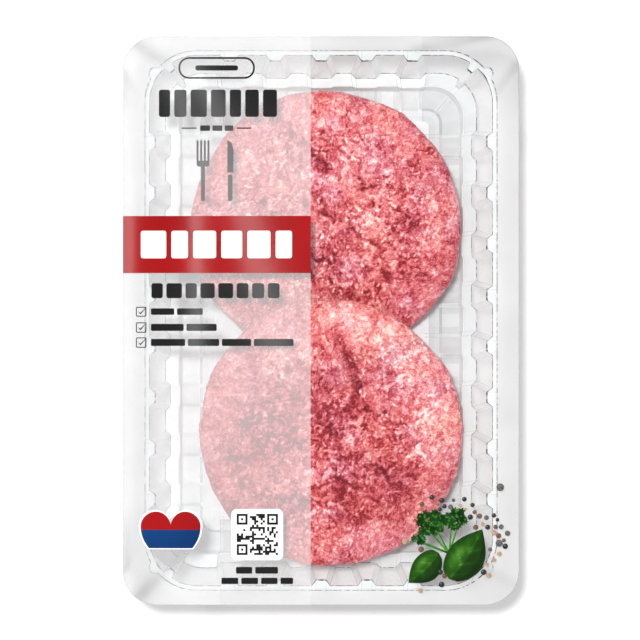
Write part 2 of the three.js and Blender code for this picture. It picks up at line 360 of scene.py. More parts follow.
def tray_ring(ring):
    points = []
    width, length, radius = ring["half_width"], ring["half_length"], ring["radius"]
    for name, turn_x, turn_y in SIDES:
        for along, step, bar in run_points(ring, RUNS[name]):
            x = turn_x * (width - step) - turn_y * along
            y = turn_y * (length - step) + turn_x * along
            points.append((x, y, ring["z"] + bar))
        for angle in corner_angles if turn_x else corner_angles[::-1]:
            lug, rib = corner_shares(angle)
            reach = radius + lug * ring["lug"] - rib * ring["corner_rib"]
            x = (turn_x - turn_y) * (width - radius + reach * math.cos(math.radians(angle)))
            y = (turn_x + turn_y) * (length - radius + reach * math.sin(math.radians(angle)))
            points.append((x, y, ring["z"]))
    return points


def column_kinds():
    kinds = []
    for name, turn_x, turn_y in SIDES:
        kinds += [(name, column[4]) for column in RUNS[name]]
        corner = "right corner" if turn_x > turn_y else "left corner"
        angles = corner_angles if turn_x else corner_angles[::-1]
        kinds += [(corner, corner_kind((a + b) / 2)) for a, b in zip(angles, angles[1:])]
        kinds.append((corner, "niche"))
    return kinds


ring_points = [tray_ring(ring) for ring, _, _ in rings]
print(f"{len(ring_points[0])} columns round the tray")

# %% Finish of each face
# The flange's veil starts higher on the two sides towards the lamp, because the cell of the folds lowers it
# there with painted shade.
LAMP_SIDE_FLANGE = {"top": 0.82, "left": 0.89, "left corner": 0.86}
# On a shaded flank the painted line and the edge are drawn darker; the bright finish keeps a share of the
# veil.
SHADED_LINE = 0.6
SHADED_EDGE = 0.8
BRIGHT_SHARE = 0.88


def face_finish(zone, at_bend, run, kind):
    edge = kind.endswith("edge")
    flank = kind.split()[0]
    if at_bend and zone + 1 in PAINTED_BEND_LINES:
        finish, tone = PAINTED_BEND_LINES[zone + 1]
        return finish, tone * (SHADED_LINE if finish == PAINTED_DARK_LINE and flank == "shade" else 1)
    if zone == FLANGE:
        return WELDED, LAMP_SIDE_FLANGE.get(run, PAINTED_VEILS[zone]["niche"])
    tone = PAINTED_VEILS[zone][flank] * (RUN_PAINTED_LIGHT[run] if zone >= WALL else 1)
    if edge and flank == "shade":
        tone *= SHADED_EDGE
    if zone == WALL and flank not in ("lit", "shade"):
        return STEEP, min(tone, 1.0)
    return (PAINTED_BRIGHT, min(BRIGHT_SHARE * tone, 1.0)) if tone > 1 else (CLEAR, tone)

# %% [markdown]
# ## Painted shade of the flange's folds
# The film pulls on the flange as it is sealed and cut, and leaves soft creases that run in from the
# corners. The shade of each is painted as a straight soft band, greyer than the sheet. On the two sides
# towards the lamp the flange leans a little away from the eye, and painted shade makes it greyer there as
# well. A crease so shallow has hardly any height, so its painted shade is written on the flange's points and
# no relief is made.

# %% Painted shade of soft folds
# Where the painted shade of a fold starts and ends, its half width and how much of the veil it takes at its
# start.
FLANGE_FOLD_SHADES = [
    ((66, 110.5), (36, 104.3), 2.2, 0.3), ((76, 98.3), (67.4, 87.8), 2.8, 0.3),
    ((-72.5, 107.5), (-57.5, 97.5), 2.6, 0.44), ((-76.3, 94.5), (-69.8, 77), 2.2, 0.42),
    ((-70.2, -106.5), (-57.9, -94.2), 2.9, 0.46), ((-75.4, -95), (-71.0, -77), 2.2, 0.42),
    ((-54.2, -109.4), (-40.5, -106), 2.0, 0.3), ((64, -96.7), (76, -102.5), 2.6, 0.16),
]
FOLD_SHADE_FADE = 0.45
DEEPEST_FOLD_SHADE = 0.1
# What the flange on the two sides towards the lamp keeps of its veil under painted shade, and over which
# reach it fades to that.
LAMP_SIDE_KEPT = 0.73
TOP_SIDE, LEFT_SIDE = (92, 106), (56, 70)


def smooth_step(low, high, value):
    share = np.clip((value - low) / (high - low), 0, 1)
    return share * share * (3 - 2 * share)


def distance_to(points, start, end):
    start, run = np.array(start), np.array(end) - np.array(start)
    share = np.clip(((points - start) @ run) / (run @ run), 0, 1)
    return np.hypot(*(points - start - share[:, None] * run).T), share


def fold_shade_values(points, on_flange):
    flat = np.array(points)[:, :2]
    lamp_side_shade = np.maximum(smooth_step(*TOP_SIDE, flat[:, 1]), smooth_step(*LEFT_SIDE, -flat[:, 0]))
    kept = 1 - (1 - LAMP_SIDE_KEPT) * lamp_side_shade * on_flange
    for start, end, half_width, depth in FLANGE_FOLD_SHADES:
        away, share = distance_to(flat, start, end)
        kept -= depth * (1 - FOLD_SHADE_FADE * share) * np.exp(-((away / half_width) ** 2))
    return np.maximum(kept, DEEPEST_FOLD_SHADE)


print(f"{len(FLANGE_FOLD_SHADES)} folds")

# %% Make the tray
kinds = column_kinds()
columns = len(ring_points[0])
tray_points = [point for ring in ring_points for point in ring]
tray_faces, tray_finishes = [], []
for r in range(len(rings) - 1):
    for c in range(columns):
        n = (c + 1) % columns
        tray_faces.append((r * columns + n, (r + 1) * columns + n, (r + 1) * columns + c, r * columns + c))
        tray_finishes.append(face_finish(rings[r][1], rings[r][2], *kinds[c]))
tray_faces.append(tuple((len(rings) - 1) * columns + c for c in range(columns)))
tray_finishes.append(face_finish(PANEL, False, "right", "niche"))
tray = make_piece("clear_tray", tray_points, tray_faces, SHEET_FINISHES[CLEAR], ["tray"])
for finish in SHEET_FINISHES[1:]:
    tray.data.materials.append(finish)
tray.data.polygons.foreach_set("material_index", [finish for finish, _ in tray_finishes])
write_values(tray, "painted_veil", [tone for _, tone in tray_finishes], "FACE")
# The painted shade of the folds goes on every point under it, and the painted side shade on the flange only.
on_flange = np.repeat([zone in (EDGE, FLANGE) for _, zone, _ in rings], columns)
write_values(tray, "fold_shade", fold_shade_values(tray_points, on_flange))

# %% [markdown]
# ## Lidding film
# The lid is a clear laminate film, sealed to the flange and pulled tight, so it stays flat on the flange
# and rises only a little over the opening. One smooth skin is enough, since the real film is a twentieth
# of a millimetre thick.

# %% Film
FILM_LEVEL = FLANGE_TOP + 0.55
FILM_CROWN = 1.2
FILM_RINGS = 20
FILM_MIDDLE = 0.05


def film_height(x, y):
    across = np.maximum(0, 1 - (2 * np.asarray(x) / LIP_WIDTH) ** 4)
    along = np.maximum(0, 1 - (2 * np.asarray(y) / LIP_LENGTH) ** 4)
    return FILM_LEVEL + FILM_CROWN * across * along


def rounded_outline(half_width, half_length, radius, steps=8):
    points = []
    for quarter, (sign_x, sign_y) in enumerate(((1, 1), (-1, 1), (-1, -1), (1, -1))):
        for i in range(steps + 1):
            angle = (quarter + i / steps) * math.pi / 2
            points.append((
                sign_x * (half_width - radius) + radius * math.cos(angle),
                sign_y * (half_length - radius) + radius * math.sin(angle),
            ))
    return points


# Clear laminate is nearly invisible from above. What it adds is a trace of grey and a sharp shine.
clear_film = new_material("Clear_lidding_film", {
    "Roughness": 0.08, "IOR": 1.5, "Alpha": 0.05, "Base Color": linear("#8F8F92"),
})
film_rings = [rounded_outline(PACK_WIDTH / 2, PACK_LENGTH / 2, FLANGE_RADIUS)]
for share in np.linspace(1, FILM_MIDDLE, FILM_RINGS):
    film_rings.append(rounded_outline(share * LIP_WIDTH / 2, share * LIP_LENGTH / 2, share * LIP_RADIUS))
film_points = [(x, y, float(film_height(x, y))) for ring in film_rings for x, y in ring]
around = len(film_rings[0])
film_faces = []
for r in range(len(film_rings) - 1):
    for c in range(around):
        n = (c + 1) % around
        film_faces.append((r * around + c, r * around + n, (r + 1) * around + n, (r + 1) * around + c))
film_faces.append(tuple((len(film_rings) - 1) * around + c for c in range(around)))
film = make_piece("film_lid_clear", film_points, film_faces, clear_film, ["film_lid"])

# %% [markdown]
# ## Raw minced beef
# Mince leaves the grinder as soft strands about 3 mm thick. Pressed in a round mould, the strands break
# into grains and lumps of lean and fat with dark gaps between them. A height map of the mince is built up
# from coarse to fine: jittered cells stand for the lumps, a few short bent strands are pressed in between
# them, and each part keeps its own tone from white fat to deep red lean. The gaps and cracks lie low in the
# map, and their darkness is painted shade in the tone and in the material.

# %% Random fields for the mince
# The map is a square grid of points 0.2 mm apart. A cloud is random noise softened to a width in millimetres.
# Grains are cells round jittered middles, each a low dome with a tone of its own.
MAP_STEP = 0.2
MAP_HALF = 66.0
MAP_SIZE = int(2 * MAP_HALF / MAP_STEP) + 1
map_side = np.linspace(-MAP_HALF, MAP_HALF, MAP_SIZE)
map_x, map_y = np.meshgrid(map_side, map_side)
map_waves = np.hypot(*np.meshgrid(*[np.fft.fftfreq(MAP_SIZE, MAP_STEP)] * 2))


def cloud(rng, width):
    rough = np.fft.fft2(rng.normal(size=(MAP_SIZE, MAP_SIZE)))
    soft = np.fft.ifft2(rough * np.exp(-((map_waves * width * 1.2) ** 2))).real
    return soft / soft.std()


def grains(rng, x, y, width):
    cells = int(2.6 * MAP_HALF / width)
    middles = rng.uniform(0.08, 0.92, (cells, cells, 2))
    own_tone = rng.normal(0, 1, (cells, cells))
    u, v = x / width + cells / 2, y / width + cells / 2
    column, row = np.floor(u).astype(int), np.floor(v).astype(int)
    first, second = np.full(x.shape, 9.0), np.full(x.shape, 9.0)
    tone = np.zeros(x.shape)
    for step in range(9):
        i = np.clip(column + step // 3 - 1, 0, cells - 1)
        j = np.clip(row + step % 3 - 1, 0, cells - 1)
        away = np.hypot(i + middles[i, j, 0] - u, j + middles[i, j, 1] - v)
        second = np.minimum(second, np.maximum(first, away))
        tone = np.where(away < first, own_tone[i, j], tone)
        first = np.minimum(first, away)
    return np.sqrt(np.clip(1.5 * (second - first), 0, 1)), tone


print(f"map of {MAP_SIZE} by {MAP_SIZE} points")

# %% Press strands and flecks into the map
# Strands pressed in: how many, their half length and half width, how far they stand up, and their tone. Long
# lean ones come first, then crumbs of fat, then a few large flecks of fat.
STRANDS = (
    (900, (0.2, 1.4), (0.4, 0.9), 0.1, (0.3, 0.8)),
    (850, (0.1, 0.6), (0.22, 0.5), 0.12, (0.02, 0.25)),
    (24, (0.7, 1.7), (0.7, 1.2), 0.2, (0.05, 0.2)),
)


def press_strands(height, tone, strands):
    for x, y, angle, half_length, half_width, bend, lift, shade in strands:
        reach = half_length + half_width
        c0, c1 = (int((v - reach + MAP_HALF) / MAP_STEP) for v in (x, y))
        span = int(2 * reach / MAP_STEP) + 2
        if min(c0, c1) < 0 or max(c0, c1) + span >= MAP_SIZE:
            continue
        window = (slice(c1, c1 + span), slice(c0, c0 + span))
        gx, gy = map_x[window] - x, map_y[window] - y
        along = gx * math.cos(angle) + gy * math.sin(angle)
        aside = gy * math.cos(angle) - gx * math.sin(angle) - bend * along ** 2
        away = np.hypot(np.maximum(np.abs(along) - half_length, 0), aside) / half_width
        dome = np.sqrt(np.maximum(0, 1 - away ** 2))
        kept = np.clip(dome * 2.5, 0, 1)
        bed = height[c1 + span // 2, c0 + span // 2]
        height[window] += kept * (bed + lift + 0.5 * half_width * dome - height[window]) * 0.8
        tone[window] += kept * (shade - tone[window]) * 0.85


def random_strands(rng, count, length, width, lift, shade):
    turns = rng.uniform(0, 2 * math.pi, count)
    reach = MAP_HALF * np.sqrt(rng.uniform(0, 1, count))
    x, y = reach * np.cos(turns), reach * np.sin(turns)
    swirl = 1.1 * np.sin(x / 17) + 1.3 * np.cos(y / 14)
    return zip(
        x, y, swirl + rng.normal(0, 0.9, count), rng.uniform(*length, count), rng.uniform(*width, count),
        rng.normal(0, 0.12, count), np.full(count, lift), rng.uniform(*shade, count),
    )


print(f"{sum(strands[0] for strands in STRANDS)} strands and flecks to each patty")

# %% Build the height and tone of the mince
# Width of the grains, how high they stand and how far their tones differ.
GRAINS = ((3.8, 0.5, 0.07), (2.0, 0.42, 0.09), (1.05, 0.3, 0.11))
# Width of the drifts in tone, and how far each goes.
TONE_CLOUDS = ((0.7, 0.09), (1.4, 0.07), (2.8, 0.06), (6, 0.06), (12, 0.04), (26, 0.05))
SMEAR_FLATTENS, SMEAR_EVENS, SMEAR_LIGHTENS = 0.62, 0.45, 0.06
# A crack's half width and depth, and the painted shade that it adds to the tone.
CRACK_HALF_WIDTH, CRACK_DEPTH, CRACK_SHADE_TONE = 0.75, 1.1, 0.3


def carve(height, tone, bent_x, bent_y, points):
    flat = np.stack([bent_x.ravel(), bent_y.ravel()], axis=1)
    for start, end in zip(points, points[1:]):
        away, _ = distance_to(flat, start, end)
        cut = np.exp(-((away / CRACK_HALF_WIDTH) ** 2)).reshape(height.shape)
        height -= CRACK_DEPTH * cut
        tone += CRACK_SHADE_TONE * cut


def mince_map(patty):
    rng = np.random.default_rng(patty["map_seed"])
    bent_x = map_x + 0.8 * cloud(rng, 5) + 0.3 * cloud(rng, 1.5)
    bent_y = map_y + 0.8 * cloud(rng, 5) + 0.3 * cloud(rng, 1.5)
    height, tone = 0.16 * cloud(rng, 7), np.full(map_x.shape, 0.5)
    for width, spread in TONE_CLOUDS:
        tone += spread * cloud(rng, width)
    smear = smooth_step(0.2, 1.3, cloud(rng, 13))
    for x, y, radius, amount in patty["smooth_places"]:
        nearness = smooth_step(radius, 0.5 * radius, np.hypot(map_x - x, map_y - y))
        smear = np.maximum(smear, amount * nearness)
    rough = 1 - SMEAR_FLATTENS * smear
    for width, rise, spread in GRAINS:
        dome, own_tone = grains(rng, bent_x, bent_y, width)
        height += rise * (dome - 0.6 + 0.18 * own_tone) * rough
        # The tone darkens towards the edge of each grain, as painted shade in the gaps between grains.
        tone += spread * own_tone * (1 - SMEAR_EVENS * smear) + 0.2 * (0.7 - dome) * rough
    for strands in STRANDS:
        press_strands(height, tone, random_strands(rng, *strands))
    for x, y, radius, amount in patty["toned_places"]:
        tone += amount * smooth_step(radius, 0.3 * radius, np.hypot(map_x - x, map_y - y))
    for points in patty["cracks"]:
        carve(height, tone, bent_x, bent_y, points)
    return height, tone - SMEAR_LIGHTENS * smear


def sample(values, x, y):
    fx, fy = (np.clip((np.asarray(v) + MAP_HALF) / MAP_STEP, 0, MAP_SIZE - 1.001) for v in (x, y))
    ix, iy = fx.astype(int), fy.astype(int)
    tx, ty = fx - ix, fy - iy
    low = values[iy, ix] * (1 - tx) + values[iy, ix + 1] * tx
    high = values[iy + 1, ix] * (1 - tx) + values[iy + 1, ix + 1] * tx
    return low * (1 - ty) + high * ty

# %% [markdown]
# ## The patties' form
# Both patties repeat the form of their solids: a round cake with a blunt rim and low crags. The first lies
# flat and is pressed thinner under the second, which climbs over it. The map of grains is laid on that form
# like a skin, from the middle of the top out over the rim.

# %% The two patties
# Places in the map are measured from the patty's own middle: x, y, radius and amount. A smooth place is
# smeared by the mould. A toned place is darker where its amount is above 0 and lighter where it is below:
# leaner or fatter meat, except on the second patty's left and lower left, where it is painted shade. A crack
# runs from point to point.
FIRST_PATTY = {
    "x": 1.9, "y": 37.7, "radius": 52.7, "thickness": 15.5, "seed": 1.3, "map_seed": 11,
    "smooth_places": [(-30, 30, 22, 0.7), (28, 33, 14, 0.6)],
    "toned_places": [
        (38, -20, 22, 0.08), (10, -30, 18, 0.06), (9, 9, 15, 0.08), (5, 38, 18, -0.07), (44, 3, 15, -0.11),
        (-6, -6, 12, -0.12),
    ],
    "cracks": [
        [(8.5, 0.0), (13.0, -3.8), (16.6, -7.0), (23.6, -7.4)], [(-5.8, 27.0), (-1.5, 24.3)],
        [(12.0, 18.5), (15.5, 15.0), (21.0, 14.2)], [(27.0, 5.5), (31.5, 2.0)],
        [(-3.0, -12.0), (2.5, -15.5)], [(-27.0, 10.0), (-21.0, 5.5), (-18.5, -1.0)],
        [(33.0, -19.0), (39.5, -21.5)],
    ],
}
SECOND_PATTY = {
    "x": 3.7, "y": -44.0, "radius": 52.0, "thickness": 15.0, "seed": 4.1, "map_seed": 23,
    "smooth_places": [(14, 36, 24, 0.95), (34, 10, 18, 0.6), (32, -22, 20, 0.5), (-20, 30, 20, 0.5)],
    "toned_places": [
        # The first two places are painted shade at the patty's left and lower left.
        (-36, -4, 44, 0.26), (-33, -35, 17, 0.13), (-7, 18, 16, 0.14), (5, 6, 17, 0.1), (18, -21, 27, 0.19),
        (27, 29, 22, -0.1), (42, -2, 19, -0.15), (-7, -22, 13, -0.07), (6, 47, 14, -0.18),
        (26, 40, 14, -0.12),
    ],
    "cracks": [
        [(12.0, 13.5), (15.0, 9.5), (21.5, 6.5)], [(-2.0, 3.0), (3.5, -1.5)], [(2.0, -16.5), (9.5, -20.0)],
        [(16.5, -13.0), (22.0, -15.5), (25.0, -20.5)], [(-24.0, 8.0), (-19.0, 2.5)],
        [(-15.0, -24.0), (-9.0, -27.0)], [(9.0, 22.5), (11.0, 18.0), (10.5, 14.0)],
    ],
}
for patty in (FIRST_PATTY, SECOND_PATTY):
    print(f"patty {2 * patty['radius']:.0f} mm across and {patty['thickness']} mm thick")

# %% Form of a patty
# Crags and waves in the outline are sums of a few sizes: width or count, and height or share. The second
# patty is thinner where it climbs over the first, and its far end leans on the foot of the wall.
PATTY_CLEARANCE = 0.35
EDGE_ROUNDING = 3.2
LAP_LIFT, LAP_THINS = 9.6, 3.6
PRESSED_BY = 6.2
FAR_END, FAR_END_LIFT, FAR_END_THINS = (78, 93), 3.4, 1.2
CRAGS = ((11, 1.5), (6, 1.1))
OUTLINE_WAVES = ((2, 0.008), (3, 0.007), (5, 0.005), (9, 0.004), (14, 0.003))
DENT_FROM, DENT_TO = (5.6, -1.8), (12.8, -21.4)
DENT_WIDTH, DENT_DEPTH = 2.6, 1.6


def inside_edge(patty, x, y):
    return patty["radius"] - np.hypot(x - patty["x"], y - patty["y"])


def outline_factor(patty, angle):
    waves = [
        share * np.sin(times * angle + number * patty["seed"])
        for number, (times, share) in enumerate(OUTLINE_WAVES, 1)
    ]
    return 1 + sum(waves)


def scattered(column, row, seed):
    return (np.sin(column * 12.9898 + row * 78.233 + seed) * 43758.5453) % 1


def lumps(u, v, seed):
    column, row = np.floor(u), np.floor(v)
    across, along = smooth_step(0, 1, u - column), smooth_step(0, 1, v - row)
    low = scattered(column, row, seed) * (1 - across) + scattered(column + 1, row, seed) * across
    high = scattered(column, row + 1, seed) * (1 - across) + scattered(column + 1, row + 1, seed) * across
    return low * (1 - along) + high * along - 0.5


def dent_depth(x, y):
    away, _ = distance_to(np.stack([x, y], axis=1), DENT_FROM, DENT_TO)
    return DENT_DEPTH * np.exp(-((away / DENT_WIDTH) ** 2))


def patty_bed(patty, x, y):
    under = PANEL_LEVEL + PATTY_CLEARANCE
    crags = sum(height * lumps(x / width, y / width, patty["seed"]) for width, height in CRAGS)
    if patty is FIRST_PATTY:
        pressed = smooth_step(-9, 7, inside_edge(SECOND_PATTY, x, y))
        return under, patty["thickness"] - PRESSED_BY * pressed, crags * (1 - pressed)
    climb = smooth_step(-14, 5, inside_edge(FIRST_PATTY, x, y))
    leaning = smooth_step(*FAR_END, -y)
    thickness = patty["thickness"] - LAP_THINS * climb - FAR_END_THINS * leaning
    return under + LAP_LIFT * climb + FAR_END_LIFT * leaning, thickness, crags - dent_depth(x, y)


def patty_surface(patty, turn, angle):
    blunt = 2 / EDGE_ROUNDING
    reach = np.abs(np.sin(turn)) ** blunt
    rise = np.sign(np.cos(turn)) * np.abs(np.cos(turn)) ** blunt
    radius = patty["radius"] * outline_factor(patty, angle) * reach
    x = patty["x"] + radius * np.cos(angle)
    y = patty["y"] + radius * np.sin(angle)
    under, thickness, relief = patty_bed(patty, x, y)
    return np.stack([x, y, under + thickness * (1 + rise) / 2 + np.maximum(0, rise) * relief], axis=-1)


print(f"the second patty is lifted by {LAP_LIFT} mm where it laps over the first")

# %% Lay a fine mesh over the form
# A square grid is bent to a disc, so that its cells stay nearly even out to the rim. Rings round its edge
# carry on under the patty.
GRID = 276
UNDER_RINGS = 12
skin_turn = np.linspace(0, math.pi / 2, 400)


def skin_lengths(patty):
    blunt = 2 / EDGE_ROUNDING
    across = patty["radius"] * np.sin(skin_turn) ** blunt
    up = patty["thickness"] / 2 * np.cos(skin_turn) ** blunt
    return np.concatenate([[0], np.cumsum(np.hypot(np.diff(across), np.diff(up)))])


def square_to_disc():
    side = np.linspace(-1, 1, GRID + 1)
    a, b = np.meshgrid(side, side)
    wide = np.abs(a) >= np.abs(b)
    reach = np.where(wide, a, b)
    safe = np.where(reach == 0, 1, reach)
    turned = np.where(wide, math.pi / 4 * b / safe, math.pi / 2 - math.pi / 4 * a / safe)
    return np.abs(reach).ravel(), np.where(reach < 0, turned + math.pi, turned).ravel()


def patty_mesh(patty):
    lengths = skin_lengths(patty)
    share, angle = square_to_disc()
    far = share * lengths[-1]
    top_turn = np.interp(far, lengths, skin_turn)
    row = GRID + 1
    edge = [*range(GRID), *(r * row + GRID for r in range(GRID)),
            *(GRID * row + c for c in range(GRID, 0, -1)), *(r * row for r in range(GRID, 0, -1))]
    faces = [(r * row + c, r * row + c + 1, (r + 1) * row + c + 1, (r + 1) * row + c)
             for r in range(GRID) for c in range(GRID)]
    turns, angles, fars = [top_turn], [angle], [far]
    last, start = edge, row * row
    for k in range(1, UNDER_RINGS + 1):
        part = 1 - (k / UNDER_RINGS) ** 1.25 if k < UNDER_RINGS else 0.02
        turns.append(np.full(len(edge), math.pi - np.interp(part * lengths[-1], lengths, skin_turn)))
        angles.append(angle[edge])
        fars.append(np.full(len(edge), (2 - part) * lengths[-1]))
        here = list(range(start, start + len(edge)))
        faces += [(last[(i + 1) % len(edge)], last[i], here[i], here[(i + 1) % len(edge)])
                  for i in range(len(edge))]
        last, start = here, start + len(edge)
    faces.append(tuple(last[::-1]))
    turns, angles, fars = np.concatenate(turns), np.concatenate(angles), np.concatenate(fars)
    return patty_surface(patty, turns, angles), faces, angles, fars, lengths[-1]


print(f"{GRID} by {GRID} cells over the top of each patty")

# %% Material of the mince
# Raw lean meat is a soft translucent solid, moist but not wet, so it has a broken satin shine. The fine
# pattern is the ends of single fibres and crumbs of fat, about a third and four fifths of a millimetre wide.
# The whole drifts from a warmer to a cooler red over about 16 mm.
FIBRES = ((0.35, 0.78), (0.8, 0.55))
HUE_PATCH = 16
BUMP_STRENGTH, BUMP_HEIGHT = 0.5, 0.2
raw_mince = new_material("Raw_minced_beef", {"Roughness": 0.34, "IOR": 1.4, "Specular IOR Level": 0.35})
mince_place = add_node(raw_mince, "ShaderNodeTexCoord")
tone_mark = add_node(raw_mince, "ShaderNodeAttribute", attribute_name="tone")
shade_depth_mark = add_node(raw_mince, "ShaderNodeAttribute", attribute_name="height")
mince_tone = tone_mark.outputs["Fac"]
for grain_mm, spread in FIBRES:
    crumbs = add_node(raw_mince, "ShaderNodeTexNoise", {
        "Vector": mince_place.outputs["Object"], "Scale": 1 / (grain_mm * MM), "Detail": 1.0,
    })
    centred = add_node(raw_mince, "ShaderNodeMath", {
        0: crumbs.outputs["Fac"], 1: 0.5,
    }, operation="SUBTRACT")
    uneven = add_node(raw_mince, "ShaderNodeMath", {
        0: centred.outputs[0], 1: spread, 2: mince_tone,
    }, operation="MULTIPLY_ADD")
    mince_tone = uneven.outputs[0]
meat_colour = add_node(raw_mince, "ShaderNodeValToRGB", {"Fac": mince_tone}, [
    (0.0, "#FFEFE8"), (0.1, "#F9D0CA"), (0.22, "#F3B0AE"), (0.36, "#E88F92"), (0.5, "#DA747A"),
    (0.64, "#C9585F"), (0.77, "#B23B44"), (0.89, "#98212E"), (1.0, "#7C121E"),
])
# Painted shade: the lower a point lies in the map, the darker the mince is drawn there.
gap = add_node(raw_mince, "ShaderNodeMapRange", {
    "Value": shade_depth_mark.outputs["Fac"], "From Min": -1.2, "From Max": 0.0, "To Min": 0.82, "To Max": 1.0,
})
patches = add_node(raw_mince, "ShaderNodeTexNoise", {
    "Vector": mince_place.outputs["Object"], "Scale": 1 / (HUE_PATCH * MM), "Detail": 2.0,
})
patch_hue = add_node(raw_mince, "ShaderNodeValToRGB", {"Fac": patches.outputs["Fac"]}, [
    (0.34, "#FFF6EC"), (0.5, "#FCFCFC"), (0.64, "#F2F1FF"),
])
mince_shown = meat_colour.outputs["Color"]
for tint in (gap.outputs["Result"], patch_hue.outputs["Color"]):
    mixed = add_node(raw_mince, "ShaderNodeMix", {
        "Factor": 1.0, "A": mince_shown, "B": tint,
    }, data_type="RGBA", blend_type="MULTIPLY")
    mince_shown = mixed.outputs["Result"]
bump = add_node(raw_mince, "ShaderNodeBump", {
    "Height": crumbs.outputs["Fac"], "Strength": BUMP_STRENGTH, "Distance": BUMP_HEIGHT * MM,
})
set_sockets(raw_mince, surface(raw_mince), {"Base Color": mince_shown, "Normal": bump.outputs["Normal"]})
print(f"{raw_mince.name}: {len(raw_mince.node_tree.nodes)} nodes")

# %% Make both patties
# The grains stand up most on the top and fade over the rim, where they are also plainer, painted a little
# darker as shade, and given less of the painted gap shade.
RIM_BAND, RIM_BACK = 9.0, 8
RELIEF = 0.8
RIM_EVENS, RIM_DARKENS, RIM_FLATTENS = 0.3, 0.13, 0.4
DENT_DARKENS, DENT_SHADES = 0.14, 0.4


def make_patty(name, patty, node):
    height_map, tone_map = mince_map(patty)
    base, faces, angles, fars, rim = patty_mesh(patty)
    height = sample(height_map, fars * np.cos(angles), fars * np.sin(angles))
    tone = sample(tone_map, fars * np.cos(angles), fars * np.sin(angles))
    band = smooth_step(rim - RIM_BACK - 1.6 * RIM_BAND, rim - RIM_BACK, fars)
    shallow = np.interp(fars, [0, rim, rim + RIM_BACK, 2 * rim], [1, 0.8, 0.25, 0.1]) * (1 - 0.35 * band)
    piece = make_piece(name, base, faces, raw_mince, [node])
    normals = np.empty(len(base) * 3)
    piece.data.vertices.foreach_get("normal", normals)
    raised = base + normals.reshape(-1, 3) * (height * RELIEF * shallow)[:, None]
    piece.data.vertices.foreach_set("co", (raised * MM).ravel())
    piece.data.update()
    dent = dent_depth(base[:, 0], base[:, 1]) if patty is SECOND_PATTY else 0
    write_values(piece, "tone", tone * (1 - RIM_EVENS * band) + RIM_DARKENS * band + DENT_DARKENS * dent)
    # The height written here feeds only the painted shade in the material's gaps.
    write_values(piece, "height", height * (1 - RIM_FLATTENS * band) - DENT_SHADES * dent)


make_patty("mince_patty_flat", FIRST_PATTY, "first_patty")
make_patty("mince_patty_lapped", SECOND_PATTY, "second_patty")

# %% [markdown]
# ## Printed fields
# The film is printed with a milky white panel over its left half and a red band across that panel. Each
# ink is a thin layer just above the film, cut into small faces that follow the film's rise. All are cut
# along the same lines, so that a thin layer never sinks into the one below.

# %% Lay a flat shape on the film
# Layers of ink are 0.04 mm apart, thicker than real ones, so that none sinks into the next.
LAYER = 0.04
CUT_STEPS = (LIP_WIDTH / 20, LIP_LENGTH / 32)


def signed_area(points):
    turned = zip(points, points[1:] + points[:1])
    return sum(a[0] * b[1] - b[0] * a[1] for a, b in turned)


def lay_ink(name, outlines, layer, material):
    cut = bmesh.new()
    for outline in outlines:
        cut.faces.new([cut.verts.new((x, y, 0)) for x, y in outline])
    for axis, step in enumerate(CUT_STEPS):
        reach = [v.co[axis] for v in cut.verts]
        normal = [1 - axis, axis, 0]
        for k in range(math.ceil(min(reach) / step), math.floor(max(reach) / step) + 1):
            place = [k * step * part for part in normal]
            parts = cut.verts[:] + cut.edges[:] + cut.faces[:]
            bmesh.ops.bisect_plane(cut, geom=parts, plane_co=place, plane_no=normal)
    cut.verts.index_update()
    points = [(v.co.x, v.co.y, float(film_height(v.co.x, v.co.y)) + layer * LAYER) for v in cut.verts]
    faces = [tuple(v.index for v in face.verts) for face in cut.faces]
    faces = [f if signed_area([points[i] for i in f]) > 0 else f[::-1] for f in faces]
    cut.free()
    piece = make_piece(name, points, faces, material)
    return piece

# %% Inks
# Flexographic ink dries to a thin layer that is never quite even, so each ink drifts a little between two
# close shades over about 22 mm. White and grey stay satin. The full dark colours dry glossy, so that the
# strip lamps show in them.
INK_DRIFT = 22
SATIN, GLOSSY = 0.36, 0.08


def new_ink(name, hex_colour, darker, roughness=SATIN, alpha=1.0, drift_mm=INK_DRIFT):
    ink = new_material(name, {
        "Roughness": roughness, "IOR": 1.5, "Alpha": alpha, "Specular IOR Level": 0.4,
    })
    place = add_node(ink, "ShaderNodeTexCoord")
    drift = add_node(ink, "ShaderNodeTexNoise", {
        "Vector": place.outputs["Object"], "Scale": 1 / (drift_mm * MM), "Detail": 2.0,
    })
    shades = [(0.35, darker), (0.65, hex_colour)]
    colour = add_node(ink, "ShaderNodeValToRGB", {"Fac": drift.outputs["Fac"]}, shades)
    set_sockets(ink, surface(ink), {"Base Color": colour.outputs["Color"]})
    return ink


milky_ink = new_ink("Milky_white_ink", "#E2E2E2", "#DADADA", alpha=0.16)
red_ink = new_ink("Red_ink", "#A0080E", "#94060A", GLOSSY)
black_ink = new_ink("Black_ink", "#1C1C1C", "#121212", GLOSSY)
white_ink = new_ink("White_ink", "#FFFFFF", "#F5F5F5")
grey_ink = new_ink("Grey_ink", "#7A7A7A", "#6A6A6A")
blue_ink = new_ink("Blue_ink", "#003A74", "#003066", GLOSSY)
print("six inks for the panel")

# %% Panel and band
# The milky panel is white ink laid in three thin passes, as a real white is, so that the meat still shows.
# Ink stops a tenth of a millimetre short of the cut edge.
INK_MARGIN = 0.1
PANEL_RIGHT = -4.0
BAND_LOW, BAND_HIGH = 18.3, 40.3


def box_outline(left, right, low, high, radius=0.0, steps=5):
    if radius == 0:
        return [(left, low), (right, low), (right, high), (left, high)]
    half_width, half_height = (right - left) / 2, (high - low) / 2
    moved = rounded_outline(half_width, half_height, radius, steps)
    return [(x + left + half_width, y + low + half_height) for x, y in moved]


